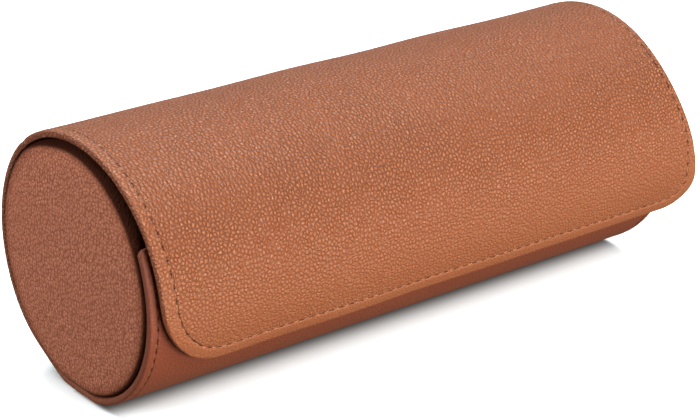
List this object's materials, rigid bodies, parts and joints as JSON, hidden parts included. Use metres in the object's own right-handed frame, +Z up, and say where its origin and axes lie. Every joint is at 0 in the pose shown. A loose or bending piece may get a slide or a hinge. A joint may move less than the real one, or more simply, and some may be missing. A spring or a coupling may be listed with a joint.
{
  "type": "brush roll case",
  "caption": "Hard round case for brushes: leather-covered trough with padded round ends, elastic loops and a curved flap that hinges at the back.",
  "frame": {"origin": "middle of the flat foot under the case, at the middle of the body's length", "axes": "+X along the case to its right end seen from the front, -Y to the front where the flap closes, +Z up"},
  "size_m": [0.2315, 0.0918, 0.0881],
  "materials": {
    "leather": "pebbled tan leather, low sheen",
    "end_leather": "fine-grained tan leather, low sheen",
    "lining": "brushed suede cloth",
    "board": "bare grey board",
    "foam": "soft open foam",
    "elastic": "woven elastic",
    "magnet": "plated"
  },
  "bodies": {
    "body": {"body_leather_cover": "leather", "hinge_leather": "leather", "left_end_leather": "end_leather", "right_end_leather": "end_leather", "body_lining": "lining", "hinge_lining": "lining", "left_end_lining": "lining", "right_end_lining": "lining", "body_board": "board", "left_end_board": "board", "right_end_board": "board", "left_end_foam": "foam", "right_end_foam": "foam", "elastic_band_left": "elastic", "elastic_band_right": "elastic", "body_magnet_left": "magnet", "body_magnet_right": "magnet"},
    "flap": {"flap_leather_cover": "leather", "flap_board": "board", "flap_lining": "lining", "flap_magnet_left": "magnet", "flap_magnet_right": "magnet"}
  },
  "joints": [
    {"name": "flap_hinge", "type": "hinge", "parent": "body", "child": "flap", "pos_m": [0, 0.02681, 0.07739], "axis": [-1, 0, 0], "range_deg": [0, 150]}
  ]
}
